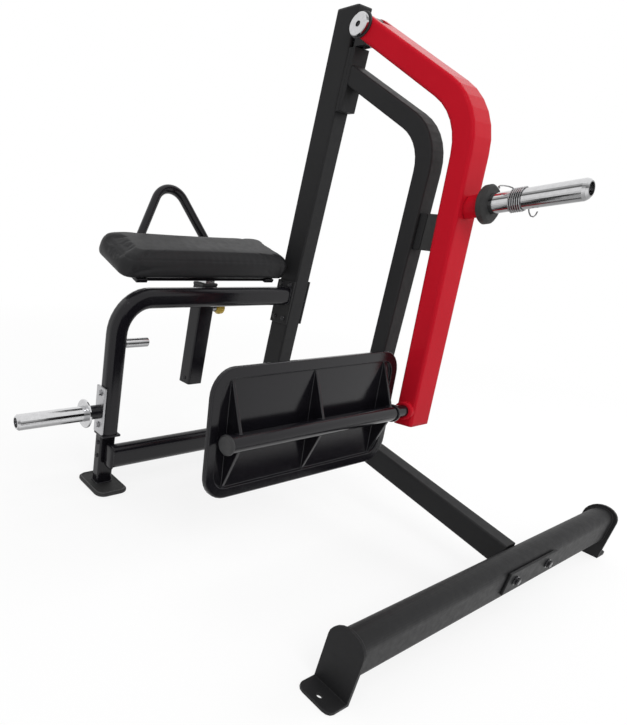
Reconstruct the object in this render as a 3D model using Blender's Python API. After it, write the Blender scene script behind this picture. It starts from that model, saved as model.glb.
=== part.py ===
"""Hip extension machine with a swinging foot plate, built as separate pieces in metres.

X runs across the machine, from the padded seat side to the arm side.
Y runs front to back, with the long foot bar at the -Y end.  Z is up, and the floor is Z = 0.
The origin is under the middle of the tall column.
"""
import math

import bmesh
import bpy
from mathutils import Matrix, Vector

# Clearances
GAP = 0.0003
PIN_GAP = 0.0006

# Tall column
COLUMN_X = 0.066
COLUMN_Y = 0.076
COLUMN_TOP = 1.488
COLUMN_CAP = 0.004
FOOT_PLATE = 0.008
FOOT_PLATE_X = 0.116
FOOT_PLATE_Y = 0.150
FLANGE = 0.008

# Front foot bar and the sloping tube that carries it
BAR_Y = -0.9366
BAR_DEPTH = 0.060
BAR_LOW = 0.0396
BAR_HIGH = 0.1587
BAR_LEFT = -0.7094
BAR_RIGHT = 0.4984
END_PLATE = 0.008
END_PLATE_DEPTH = 0.082
END_PLATE_TOP = 0.168
END_FOOT = 0.062
END_HOLE = 0.0065
LONG_X = 0.053
LONG_HEIGHT = 0.0674
LONG_LOW = 0.0725
LONG_SLOPE = 0.237
LONG_FLANGE_X = 0.110
SADDLE_X = -0.015
SADDLE_LENGTH = 0.250
SADDLE_BOLTS = 0.172
SADDLE_Z = 0.113

# Side base tube and the left post
SIDE_Y = 0.0513
SIDE_Z = 0.081
SIDE_MID_Z = 0.126
SIDE_LEFT = -0.7448
POST_LEFT = -0.7698
POST_RIGHT = -0.7123
POST_FRONT = -0.0160
POST_BACK = 0.0220
POST_TOP = 0.190
COLLAR = 0.008
RUBBER_FOOT = 0.012

# Leg and beam, one bent tube
LEG_X = -0.740
LEG_Y = -0.004
TUBE_Y = 0.0548
TUBE_DEPTH = 0.0617
BEAM_Z = 0.6384
BEAM_BEND = 0.110
BEAM_PLATE_LOW = 0.540
BEAM_PLATE_HIGH = 0.692

# Storage horn and band peg on the leg
HORN_Z = 0.2768
HORN_R = 0.025
HORN_TIP = -1.064
HORN_DISC_X = -0.832
HORN_DISC_R = 0.0465
HORN_NECK_R = 0.023
BRACKET_LOW = 0.202
BRACKET_HIGH = 0.362
PEG_Z = 0.499
PEG_R = 0.015
PEG_LENGTH = 0.088

# Pad, its post and sleeve
POST_X = -0.370
POST_SIZE = 0.044
SLEEVE_X = 0.062
SLEEVE_Y = 0.056
SLEEVE_WALL = 0.005
SLEEVE_LOW = 0.322
SLEEVE_HIGH = 0.668
GUIDE = 0.008
PAD_X = -0.388
PAD_WIDTH = 0.692
PAD_DEPTH = 0.195
PAD_MID_Y = 0.0725
PAD_MID_Z = 0.7935
PAD_TILT = 0.3185
PAD_CORNER = 0.040
CUSHION = 0.062
BOARD = 0.012
RAIL = 0.012
RAIL_WIDTH = 0.040
RAIL_SPREAD = 0.270
REAR_BAR = 0.032
HOLE_PITCH = 0.025
HOLE_COUNT = 7
PIN_Z = 0.588
PIN_R = 0.0045
PIN_REACH = 0.007
PIN_TRAVEL = 0.012
BARREL_R = 0.011
BARREL_LENGTH = 0.028
KNOB_R = 0.021
KNOB_LENGTH = 0.034

# Grab handle beyond the pad
HANDLE_R = 0.015
HANDLE_FOOT = 0.171
HANDLE_TOP = 0.038
HANDLE_TOP_Y = 0.301
HANDLE_TOP_Z = 0.960
HANDLE_BEND = 0.040

# Support tube in front of the column
SUPPORT_X = 0.0634
SUPPORT_DEPTH = 0.047
SUPPORT_PLATE = 0.011
SUPPORT_PLATE_LOW = 1.217
SUPPORT_PLATE_HIGH = 1.384
SUPPORT_CORNER = (-0.3674, 1.1346)
SUPPORT_SLOPE = 0.576
SUPPORT_LEAN = 0.056
SUPPORT_BEND = 0.160
SUPPORT_FOOT_Y = -0.4175
SUPPORT_FOOT = 0.008
BUMPER_LOW = 0.846
BUMPER_HIGH = 0.942
BUMPER_X = 0.040
BUMPER_STEEL = 0.020

# Swinging arm
PIVOT_Y = -0.0762
PIVOT_Z = 1.4302
SHAFT_R = 0.015
ARM_X = 0.0918
ARM_DEPTH = 0.0539
ARM_CORNER = (-0.4603, 1.193)
ARM_BEND = 0.215
ARM_BOTTOM = (-0.5542, 0.357)
SLOT_X = 0.046
SLOT_REACH = 0.040
LUG_R = 0.0255
DISC_R = 0.033
DISC = 0.0055
CAP_R = 0.029
CAP = 0.0125
ARM_END_CAP = 0.004

# Weight horn on the arm
ARM_HORN_Z = 0.9714
ARM_HORN_Y = -0.5489
ARM_HORN_RISE = 0.207
ARM_HORN_LENGTH = 0.216
RING_R = 0.048
RING = 0.020
CLIP_START = 0.062
CLIP_PITCH = 0.0046
CLIP_TURNS = 6
WIRE_R = 0.0016
CLIP_PLAY = 0.0014

# Foot plate on its shaft
AXLE_Y = -0.549
AXLE_Z = 0.402
PLATE_LEFT = -0.7735
PLATE_RIGHT = -0.0620
PLATE_HEIGHT = 0.338
PLATE_CORNER = 0.070
PLATE_FRONT = 0.036
PLATE_THICK = 0.014
PLATE_WEB = 0.008
PLATE_RIM = 0.030
PLATE_RISE = 0.007
PLATE_TILT = 0.116
RIB = 0.008
RIB_SPREAD = 0.292
RIB_HALF = 0.150
TUBE_R = 0.0225
AXLE_BOSS_R = 0.026
AXLE_NECK_R = 0.019
AXLE_RING_X = -0.116
AXLE_END_X = -0.7455
END_CAP_R = 0.0255
END_CAP = 0.010

SIDE_FRONT = POST_FRONT - GAP - SIDE_Y
PLATE_MID_X = (PLATE_LEFT + PLATE_RIGHT) / 2.0
SLEEVE_MID_Y = LEG_Y + TUBE_Y / 2.0 + GAP + SLEEVE_Y / 2.0
ARM_ORIGIN = Vector((0.0, PIVOT_Y, PIVOT_Z))
AXLE_ORIGIN = Vector((0.0, AXLE_Y, AXLE_Z))
HORN_WAY = Vector((0.0, -math.cos(ARM_HORN_RISE), math.sin(ARM_HORN_RISE)))
HORN_BASE = Vector((0.0, ARM_HORN_Y, ARM_HORN_Z))
PAD_PLACE = (Matrix.Translation((PAD_X, PAD_MID_Y, PAD_MID_Z))
             @ Matrix.Rotation(PAD_TILT, 4, "X"))
PLATE_PLACE = (Matrix.Translation((PLATE_MID_X, AXLE_Y, AXLE_Z))
               @ Matrix.Rotation(-PLATE_TILT, 4, "X"))
ACROSS = Vector((1.0, 0.0, 0.0))


def clear_scene():
    """Remove whatever the file opens with."""
    for item in list(bpy.data.objects):
        bpy.data.objects.remove(item, do_unlink=True)


def material(name, colour, roughness, metallic=0.0):
    """Give one plain surface its colour, roughness and metal share."""
    made = bpy.data.materials.new(name)
    made.use_nodes = True
    surface = made.node_tree.nodes["Principled BSDF"]
    surface.inputs["Base Color"].default_value = (*colour, 1.0)
    surface.inputs["Roughness"].default_value = roughness
    surface.inputs["Metallic"].default_value = metallic
    made.diffuse_color = (*colour, 1.0)
    return made


def charcoal(name):
    """Satin dark grey paint of the column and the base."""
    return material(name, (0.034, 0.034, 0.036), 0.42)


def gloss_black(name):
    """Glossy near-black paint of the bent tubes."""
    return material(name, (0.012, 0.012, 0.015), 0.22)


def red_paint(name):
    """Glossy red paint of the arm."""
    return material(name, (0.52, 0.008, 0.018), 0.25)


def chrome(name):
    """Bright plated steel."""
    return material(name, (0.62, 0.62, 0.63), 0.12, 1.0)


def zinc(name):
    """Duller plated steel of small fixings."""
    return material(name, (0.40, 0.40, 0.42), 0.35, 1.0)


def rubber(name):
    """Matt black rubber."""
    return material(name, (0.012, 0.012, 0.012), 0.75)


def black_plastic(name):
    """Plain black plastic of caps and guides."""
    return material(name, (0.015, 0.015, 0.016), 0.5)


def section(width, depth, corner, steps=3):
    """Points round a rectangle with rounded corners, centred on zero."""
    corner = min(corner, width / 2.0 - 0.00001, depth / 2.0 - 0.00001)
    points = []
    for quarter in range(4):
        mid_a = (width / 2.0 - corner) * (1, -1, -1, 1)[quarter]
        mid_b = (depth / 2.0 - corner) * (1, 1, -1, -1)[quarter]
        for step in range(steps + 1):
            angle = math.pi / 2.0 * (quarter + step / steps)
            points.append((mid_a + corner * math.cos(angle), mid_b + corner * math.sin(angle)))
    return points


def circle(radius, segments):
    """Points round a circle centred on zero."""
    turn = 2.0 * math.pi / segments
    return [(radius * math.cos(turn * i), radius * math.sin(turn * i)) for i in range(segments)]


def bent_path(corners, radius, step=math.radians(8.0)):
    """Corner points joined by straight runs and round bends."""
    corners = [Vector(corner) for corner in corners]
    path = [corners[0]]
    for before, corner, after in zip(corners, corners[1:], corners[2:]):
        back = (before - corner).normalized()
        ahead = (after - corner).normalized()
        half = back.angle(ahead) / 2.0
        turn = math.pi - 2.0 * half
        start = corner + back * (radius / math.tan(half))
        centre = corner + (back + ahead).normalized() * (radius / math.sin(half))
        axis = (-back).cross(ahead).normalized()
        count = max(2, round(turn / step))
        for i in range(count + 1):
            spoke = Matrix.Rotation(turn * i / count, 3, axis) @ (start - centre)
            path.append(centre + spoke)
    path.append(corners[-1])
    return path


def loft(rings, loop=False):
    """Skin a row of rings that all have the same number of points."""
    shell = bmesh.new()
    rows = [[shell.verts.new(point) for point in ring] for ring in rings]
    pairs = list(zip(rows, rows[1:]))
    if loop:
        pairs.append((rows[-1], rows[0]))
    for lower, upper in pairs:
        size = len(lower)
        for i in range(size):
            j = (i + 1) % size
            shell.faces.new((lower[i], lower[j], upper[j], upper[i]))
    if not loop:
        shell.faces.new(rows[0][::-1])
        shell.faces.new(rows[-1])
    bmesh.ops.recalc_face_normals(shell, faces=shell.faces[:])
    return shell


def swept(path, shape, side, first_cut=None, last_cut=None, nose=0.0):
    """Carry a section along a path that lies in the plane square to side.

    The ends can be cut along a stated plane, and nose rounds off the first end
    about its own centre.
    """
    side = Vector(side).normalized()
    last = len(path) - 1
    rings = []
    for i, point in enumerate(path):
        into = (path[max(i, 1)] - path[max(i, 1) - 1]).normalized()
        out = (path[min(i + 1, last)] - path[min(i, last - 1)]).normalized()
        along = (into + out).normalized()
        up = side.cross(along)
        stretch = 1.0 / along.dot(out)
        ring = [point + side * a + up * (b * stretch) for a, b in shape]
        cut = first_cut if i == 0 else last_cut if i == last else None
        if cut is not None:
            normal = Vector(cut)
            ring = [v - along * ((v - point).dot(normal) / along.dot(normal)) for v in ring]
        rings.append(ring)
    if nose:
        along = (path[1] - path[0]).normalized()
        up = side.cross(along)
        for step in range(1, 7):
            angle = math.radians(13.0 * step)
            centre = path[0] - along * (nose * math.sin(angle))
            flat = math.cos(angle)
            rings.insert(0, [centre + side * a + up * (b * flat) for a, b in shape])
    return loft(rings)


def turned(origin, way, profile, segments=32, loop=False):
    """Turn a profile of (distance along, radius) pairs about a line."""
    way = Vector(way).normalized()
    hint = Vector((0.0, 0.0, 1.0)) if abs(way.z) < 0.9 else Vector((0.0, 1.0, 0.0))
    side = hint.cross(way).normalized()
    up = way.cross(side)
    rings = []
    for along, radius in profile:
        centre = Vector(origin) + way * along
        rings.append([centre + side * a + up * b for a, b in circle(radius, segments)])
    return loft(rings, loop)


def prism(outline, low, high):
    """Extrude an outline given as (Y, Z) pairs along X."""
    return loft([[Vector((x, y, z)) for y, z in outline] for x in (low, high)])


def block(low, high):
    """A plain block between two corners."""
    corners = ((low[0], low[1]), (high[0], low[1]), (high[0], high[1]), (low[0], high[1]))
    return loft([[Vector((x, y, z)) for x, y in corners] for z in (low[2], high[2])])


def soften(shell, width, segments=2, least=math.radians(30.0)):
    """Round every edge sharper than the stated angle."""
    edges = [e for e in shell.edges if e.calc_face_angle(0.0) > least]
    bmesh.ops.bevel(shell, geom=edges, offset=width, segments=segments, profile=0.5,
                    affect="EDGES", clamp_overlap=True)
    return shell


def join(shells):
    """Put several closed shells into one mesh."""
    whole = bmesh.new()
    for shell in shells:
        copy = {v: whole.verts.new(v.co) for v in shell.verts}
        for face in shell.faces:
            whole.faces.new([copy[v] for v in face.verts])
        shell.free()
    return whole


def place(name, shell, surface, origin=(0.0, 0.0, 0.0), matrix=None):
    """Turn a shell into a named object with its own origin and surface."""
    if matrix is not None:
        bmesh.ops.transform(shell, matrix=matrix, verts=shell.verts[:])
    origin = Vector(origin)
    bmesh.ops.translate(shell, vec=-origin, verts=shell.verts[:])
    bmesh.ops.recalc_face_normals(shell, faces=shell.faces[:])
    for face in shell.faces:
        face.smooth = True
    for edge in shell.edges:
        edge.smooth = edge.calc_face_angle(0.0) < math.radians(32.0)
    mesh = bpy.data.meshes.new(name)
    shell.to_mesh(mesh)
    shell.free()
    item = bpy.data.objects.new(name, mesh)
    item.location = origin
    bpy.context.scene.collection.objects.link(item)
    if surface is not None:
        mesh.materials.append(surface)
    return item


def tool(name, shell, origin=(0.0, 0.0, 0.0), matrix=None):
    """A hidden helper that shapes another piece."""
    item = place(name, shell, None, origin, matrix)
    item.hide_render = True
    item.display_type = "WIRE"
    return item


def carve(target, helper, kind="DIFFERENCE"):
    """Cut a helper out of a piece, or weld it on."""
    change = target.modifiers.new(helper.name, "BOOLEAN")
    change.operation = kind
    change.object = helper
    change.solver = "EXACT"


def long_low(y):
    """Height of the sloping tube's underside at a place along Y."""
    return LONG_LOW + LONG_SLOPE * (y - BAR_Y)


def build_column():
    """Tall upright with its top cap and floor plate."""
    body = section(COLUMN_X, COLUMN_Y, 0.006)
    low = FOOT_PLATE + GAP
    rings = [[Vector((a, b, z)) for a, b in body] for z in (low, COLUMN_TOP)]
    place("column_tube", loft(rings), charcoal("column_paint"))
    low = COLUMN_TOP + GAP
    high = low + COLUMN_CAP
    lid = section(COLUMN_X - 0.002, COLUMN_Y - 0.002, 0.006)
    rings = [[Vector((a, b, z)) for a, b in body] for z in (low, high - 0.0015)]
    rings.append([Vector((a, b, high)) for a, b in lid])
    place("column_cap", loft(rings), black_plastic("column_cap_plastic"))
    half_x = FOOT_PLATE_X / 2.0
    half_y = FOOT_PLATE_Y / 2.0
    plate = block((-half_x, -half_y, 0.0), (half_x, half_y, FOOT_PLATE))
    place("column_foot_plate", soften(plate, 0.0015), charcoal("foot_plate_paint"))


def build_side_base():
    """Low tube from the left post to the column, with its end cap and flange."""
    end = -COLUMN_X / 2.0 - GAP
    mid = Vector((0.0, SIDE_FRONT + SIDE_Y / 2.0, SIDE_MID_Z))
    path = [mid + ACROSS * SIDE_LEFT, mid + ACROSS * (end - FLANGE - GAP)]
    oval = section(SIDE_Z, SIDE_Y, 0.024, 5)
    shell = swept(path, oval, (0.0, 0.0, 1.0))
    place("side_base_tube", shell, gloss_black("side_tube_paint"))
    low_y = SIDE_FRONT - 0.004
    half = SIDE_Z / 2.0 + 0.012
    plate = block((end - FLANGE, low_y, SIDE_MID_Z - half),
                  (end, COLUMN_Y / 2.0, SIDE_MID_Z + half))
    place("side_tube_flange", soften(plate, 0.0015), charcoal("side_flange_paint"))
    rings = []
    for out, shrink in ((GAP, 0.0), (0.003, 0.0), (0.005, 0.002), (0.006, 0.006)):
        ring = section(SIDE_Z - shrink, SIDE_Y - shrink, 0.024, 5)
        rings.append([Vector((SIDE_LEFT - out, mid.y + b, mid.z + a)) for a, b in ring])
    place("side_tube_cap", loft(rings), gloss_black("side_cap_paint"))


def build_left_post():
    """Short post, the collar above it and the rubber foot below."""
    low = RUBBER_FOOT + GAP
    mid_x = (POST_LEFT + POST_RIGHT) / 2.0
    mid_y = (POST_FRONT + POST_BACK) / 2.0
    body = section(POST_RIGHT - POST_LEFT, POST_BACK - POST_FRONT, 0.006)
    rings = [[Vector((mid_x + a, mid_y + b, z)) for a, b in body] for z in (low, POST_TOP)]
    place("left_post", loft(rings), gloss_black("post_paint"))
    low = POST_TOP + GAP
    half_x = TUBE_DEPTH / 2.0 + 0.003
    half_y = TUBE_Y / 2.0 + 0.003
    plate = block((LEG_X - half_x, LEG_Y - half_y, low),
                  (LEG_X + half_x, LEG_Y + half_y, low + COLLAR))
    place("post_collar", soften(plate, 0.0015), gloss_black("collar_paint"))
    rings = []
    for shrink, height in ((0.004, 0.0), (0.0, 0.003), (0.0, 0.008), (0.008, RUBBER_FOOT)):
        ring = section(0.121 - shrink, 0.163 - shrink, 0.030, 5)
        rings.append([Vector((mid_x + a, -0.0046 + b, height)) for a, b in ring])
    place("rubber_foot", loft(rings), rubber("foot_rubber"))


def build_leg_and_beam():
    """One bent tube up from the left post and across to the column."""
    oval = section(TUBE_Y, TUBE_DEPTH, 0.020, 5)
    plate_x = -COLUMN_X / 2.0 - GAP - FLANGE
    start = (LEG_X, LEG_Y, POST_TOP + GAP + COLLAR + GAP)
    end = (plate_x - GAP, LEG_Y, BEAM_Z)
    path = bent_path([start, (LEG_X, LEG_Y, BEAM_Z), end], BEAM_BEND)
    shell = swept(path, oval, (0.0, 1.0, 0.0))
    place("leg_beam_tube", shell, gloss_black("beam_paint"))
    half = COLUMN_Y / 2.0
    plate = block((plate_x, -half, BEAM_PLATE_LOW), (plate_x + FLANGE, half, BEAM_PLATE_HIGH))
    place("beam_flange_plate", soften(plate, 0.0015), charcoal("beam_flange_paint"))
    face = COLUMN_X / 2.0 + GAP
    plate = block((face, -half, BEAM_PLATE_LOW), (face + FLANGE, half, BEAM_PLATE_HIGH))
    place("beam_back_plate", soften(plate, 0.0015), charcoal("beam_back_paint"))


def build_bolt(name, face, way, radius):
    """Washer and hexagon head standing on a face."""
    washer = turned(face, way, ((0.0, radius * 1.25), (0.002, radius * 1.25)), 24)
    start = Vector(face) + Vector(way) * 0.0015
    head = turned(start, way, ((0.0, radius), (radius * 0.6, radius), (radius * 0.75, radius * 0.86)), 6)
    item = place(name, washer, zinc(name + "_zinc"))
    carve(item, tool(name + "_head", head), "UNION")
    return item


def build_storage_horn():
    """Plate on the leg with a neck, a stop disc and a plated sleeve."""
    face = LEG_X - TUBE_DEPTH / 2.0 - GAP
    outer = face - FLANGE
    half = 0.026
    plate = block((outer, LEG_Y - half, BRACKET_LOW), (face, LEG_Y + half, BRACKET_HIGH))
    place("horn_bracket", soften(plate, 0.0015), zinc("bracket_zinc"))
    middle = (0.0, LEG_Y, HORN_Z)
    root = outer - GAP
    disc = HORN_DISC_X + 0.004
    neck = ((-root, HORN_NECK_R), (-disc - GAP, HORN_NECK_R))
    place("horn_neck", turned(middle, -ACROSS, neck), gloss_black("horn_neck_paint"))
    rim = ((-disc, HORN_R + GAP), (-disc, HORN_DISC_R - 0.002), (-disc + 0.002, HORN_DISC_R),
           (-disc + 0.006, HORN_DISC_R), (-disc + 0.008, HORN_DISC_R - 0.002),
           (-disc + 0.008, HORN_R + GAP))
    place("horn_disc", turned(middle, -ACROSS, rim, 40, loop=True), chrome("horn_disc_chrome"))
    tip = -HORN_TIP
    sleeve = ((-disc, HORN_R), (tip - 0.007, HORN_R), (tip, HORN_R - 0.006),
              (tip, 0.0155), (tip - 0.014, 0.0155))
    place("horn_sleeve", turned(middle, -ACROSS, sleeve, 40), chrome("horn_chrome"))
    for name, height in (("upper", BRACKET_HIGH - 0.020), ("lower", BRACKET_LOW + 0.030)):
        place_at = (root, LEG_Y, height)
        build_bolt("bracket_bolt_" + name, place_at, (-1.0, 0.0, 0.0), 0.0085)


def build_band_peg():
    """Short plated peg on the inner side of the leg."""
    face = LEG_X + TUBE_DEPTH / 2.0 + GAP
    profile = ((face, PEG_R), (face + PEG_LENGTH - 0.003, PEG_R),
               (face + PEG_LENGTH, PEG_R - 0.003))
    shell = turned((0.0, LEG_Y, PEG_Z), ACROSS, profile)
    place("band_peg", shell, chrome("peg_chrome"))


def build_front_base():
    """Foot bar, its end plates, the sloping tube and their joint plates."""
    bar = section(BAR_HIGH - BAR_LOW, BAR_DEPTH, BAR_DEPTH / 2.0, 8)
    mid_z = (BAR_HIGH + BAR_LOW) / 2.0
    path = [Vector((x, BAR_Y, mid_z)) for x in (BAR_LEFT, BAR_RIGHT)]
    place("foot_bar", swept(path, bar, (0.0, 0.0, 1.0)), charcoal("foot_bar_paint"))
    for name, face, way in (("left", BAR_LEFT - GAP, -1), ("right", BAR_RIGHT + GAP, 1)):
        build_end_plate("end_plate_" + name, face, way)
    front = BAR_Y - BAR_DEPTH / 2.0
    rear = BAR_Y + BAR_DEPTH / 2.0 + GAP
    plate_y = -COLUMN_Y / 2.0 - GAP - FLANGE
    half_z = Vector((0.0, 0.0, LONG_HEIGHT / 2.0))
    path = [Vector((0.0, y, long_low(y))) + half_z for y in (rear, plate_y - GAP)]
    slope = math.atan(LONG_SLOPE)
    tube = section(LONG_X, LONG_HEIGHT * math.cos(slope), 0.006)
    shell = swept(path, tube, ACROSS, (0.0, 1.0, 0.0), (0.0, 1.0, 0.0))
    place("long_base_tube", shell, charcoal("long_tube_paint"))
    low = long_low(plate_y) - 0.030
    high = low + LONG_HEIGHT + 0.060
    half = LONG_FLANGE_X / 2.0
    plate = block((-half, plate_y, low), (half, plate_y + FLANGE, high))
    place("long_tube_flange", soften(plate, 0.0015), charcoal("long_flange_paint"))
    half = SADDLE_LENGTH / 2.0
    face = front - GAP
    plate = block((SADDLE_X - half, face - 0.006, SADDLE_Z - 0.036),
                  (SADDLE_X + half, face, SADDLE_Z + 0.030))
    place("saddle_plate", soften(plate, 0.0015), charcoal("saddle_paint"))
    for name, way in (("left", -1), ("right", 1)):
        place_at = (SADDLE_X + way * SADDLE_BOLTS / 2.0, face - 0.006 - GAP, SADDLE_Z)
        build_bolt("saddle_bolt_" + name, place_at, (0.0, -1.0, 0.0), 0.0105)


def build_end_plate(name, face, way):
    """Bent plate: upright with a round top, foot turned outward, one bolt hole."""
    half = END_PLATE_DEPTH / 2.0
    round_top = END_PLATE_TOP - half
    outline = [(-half, 0.0), (half, 0.0)]
    for step in range(13):
        angle = math.pi * step / 12.0
        outline.append((half * math.cos(angle), round_top + half * math.sin(angle)))
    shell = prism([(BAR_Y + y, z) for y, z in outline], 0.0, END_PLATE)
    foot = section(END_FOOT * 2.0, END_PLATE_DEPTH, 0.016)
    foot = [(max(a, END_PLATE / 2.0), b) for a, b in foot]
    rings = [[Vector((a, BAR_Y + b, z)) for a, b in foot] for z in (0.0, END_PLATE)]
    toe = tool(name + "_foot", loft(rings))
    bore = turned((END_FOOT * 0.66, BAR_Y, 0.0), (0.0, 0.0, 1.0),
                  ((-0.005, END_HOLE), (0.020, END_HOLE)), 24)
    drill = tool(name + "_hole", bore)
    item = place(name, shell, charcoal(name + "_paint"))
    carve(item, toe, "UNION")
    carve(item, drill)
    for thing in (item, toe, drill):
        for vertex in thing.data.vertices:
            vertex.co.x = face + way * vertex.co.x
        if way < 0:
            thing.data.flip_normals()
    return item


def build_support():
    """Bent tube from the column's upper flange down to the sloping tube, with a bumper."""
    half = COLUMN_X / 2.0
    front = -COLUMN_Y / 2.0 - GAP
    for name in ("rear", "front"):
        plate = block((-half, front - SUPPORT_PLATE, SUPPORT_PLATE_LOW),
                      (half, front, SUPPORT_PLATE_HIGH))
        place("support_plate_" + name, soften(plate, 0.0012), charcoal(name + "_plate_paint"))
        front -= SUPPORT_PLATE + GAP
    corner_y, corner_z = SUPPORT_CORNER
    start_z = corner_z + SUPPORT_SLOPE * (front - corner_y)
    foot_top = long_low(SUPPORT_FOOT_Y) + LONG_HEIGHT + GAP + SUPPORT_FOOT * 1.03 + GAP
    foot_y = corner_y - SUPPORT_LEAN * (corner_z - foot_top)
    slope = Vector((0.0, -LONG_SLOPE, 1.0)).normalized()
    corners = [(0.0, front, start_z), (0.0, corner_y, corner_z), (0.0, foot_y, foot_top)]
    path = bent_path(corners, SUPPORT_BEND)
    tube = section(SUPPORT_X, SUPPORT_DEPTH, 0.006)
    shell = swept(path, tube, ACROSS, (0.0, 1.0, 0.0), slope)
    place("support_tube", shell, gloss_black("support_paint"))
    outline = []
    for y, rise in ((-0.046, 0.0), (0.046, 0.0), (0.046, 1.0), (-0.046, 1.0)):
        y += SUPPORT_FOOT_Y
        base = long_low(y) + LONG_HEIGHT + GAP
        outline.append((y, base + rise * SUPPORT_FOOT))
    place("support_foot", soften(prism(outline, -0.034, 0.034), 0.0012), charcoal("support_foot_paint"))
    build_bumper()


def build_bumper():
    """Steel stand-off and rubber block that the arm rests on."""
    def support_face(z):
        middle = SUPPORT_CORNER[0] - SUPPORT_LEAN * (SUPPORT_CORNER[1] - z)
        return middle - SUPPORT_DEPTH / 2.0 * math.sqrt(1.0 + SUPPORT_LEAN ** 2)

    arm = Vector((ARM_CORNER[0] - ARM_BOTTOM[0], ARM_CORNER[1] - ARM_BOTTOM[1])).normalized()

    def arm_face(z):
        middle = ARM_BOTTOM[0] + (z - ARM_BOTTOM[1]) * arm.x / arm.y
        return middle + ARM_DEPTH / 2.0 / arm.y

    half = BUMPER_X / 2.0
    ends = (BUMPER_LOW, BUMPER_HIGH)
    outline = [(support_face(z) - GAP, z) for z in ends]
    outline += [(support_face(z) - GAP - BUMPER_STEEL, z) for z in ends[::-1]]
    place("bumper_mount", soften(prism(outline, -half, half), 0.0015), charcoal("bumper_mount_paint"))
    outline = [(support_face(z) - GAP * 2.0 - BUMPER_STEEL, z) for z in ends]
    outline += [(arm_face(z) + GAP, z) for z in ends[::-1]]
    place("bumper_block", soften(prism(outline, -half, half), 0.003), rubber("bumper_rubber"))


def build_pivot():
    """Lug on the column, shaft, black discs and plated caps."""
    face = -COLUMN_Y / 2.0 - GAP
    low = SUPPORT_PLATE_HIGH + 0.002
    top = PIVOT_Z + LUG_R
    outline = [(face, low), (face, top)]
    for step in range(9):
        angle = math.pi / 2.0 * (1.0 + step / 8.0)
        outline.append((PIVOT_Y + LUG_R * math.cos(angle), PIVOT_Z + LUG_R * math.sin(angle)))
    outline += [(PIVOT_Y - 0.019, PIVOT_Z - 0.024), (PIVOT_Y - 0.009, low)]
    half = SLOT_X / 2.0 - 0.001
    lug = place("pivot_lug", soften(prism(outline, -half, half), 0.0012), gloss_black("lug_paint"))
    bore = ((-half - 0.01, SHAFT_R + GAP), (half + 0.01, SHAFT_R + GAP))
    carve(lug, tool("lug_bore", turned(ARM_ORIGIN, ACROSS, bore, 48)))
    reach = ARM_X / 2.0 + GAP + DISC
    shaft = ((-reach, SHAFT_R), (reach, SHAFT_R))
    place("pivot_shaft", turned(ARM_ORIGIN, ACROSS, shaft, 48), zinc("shaft_steel"))
    for name, way in (("left", -1.0), ("right", 1.0)):
        near = ARM_X / 2.0 + GAP
        far = near + DISC
        ring = ((near, SHAFT_R + GAP), (near, DISC_R), (far - 0.001, DISC_R),
                (far, DISC_R - 0.001), (far, SHAFT_R + GAP))
        disc = turned(ARM_ORIGIN, ACROSS * way, ring, 48, loop=True)
        place("pivot_disc_" + name, disc, black_plastic("disc_" + name + "_black"))
        near = far + GAP
        far = near + CAP
        lid = ((near, CAP_R - 0.001), (near + 0.001, CAP_R), (far - 0.002, CAP_R),
               (far, CAP_R - 0.002), (far, 0.0075), (far - 0.006, 0.0075))
        cap = turned(ARM_ORIGIN, ACROSS * way, lid, 48)
        place("pivot_cap_" + name, cap, chrome("cap_" + name + "_chrome"))


def build_arm():
    """Bent box arm with a forked top, and the cap in its lower end."""
    corner = Vector((0.0, *ARM_CORNER))
    bottom = Vector((0.0, *ARM_BOTTOM))
    down = (bottom - corner).normalized()
    end = bottom - down * (ARM_END_CAP + GAP)
    path = bent_path([ARM_ORIGIN, corner, end], ARM_BEND)
    box_tube = section(ARM_X, ARM_DEPTH, 0.007)
    shell = swept(path, box_tube, ACROSS, nose=ARM_DEPTH / 2.0)
    arm = place("arm_tube", shell, red_paint("arm_paint"), ARM_ORIGIN)
    way = (corner - ARM_ORIGIN).normalized()
    slot = section(SLOT_X, 0.1, 0.001, 1)
    slot_path = [ARM_ORIGIN - way * 0.06, ARM_ORIGIN + way * SLOT_REACH]
    carve(arm, tool("arm_slot", swept(slot_path, slot, ACROSS), ARM_ORIGIN))
    bore = ((-0.08, SHAFT_R + GAP), (0.08, SHAFT_R + GAP))
    carve(arm, tool("arm_bore", turned(ARM_ORIGIN, ACROSS, bore, 48), ARM_ORIGIN))
    lid = swept([bottom - down * ARM_END_CAP, bottom], box_tube, ACROSS)
    place("arm_end_cap", lid, red_paint("arm_cap_paint"), ARM_ORIGIN)
    face = ARM_X / 2.0
    boss = ((face - 0.004, 0.018), (face + 0.005, 0.018), (face + 0.007, 0.016))
    carve(arm, tool("arm_boss", turned(AXLE_ORIGIN, ACROSS, boss), ARM_ORIGIN), "UNION")


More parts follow.
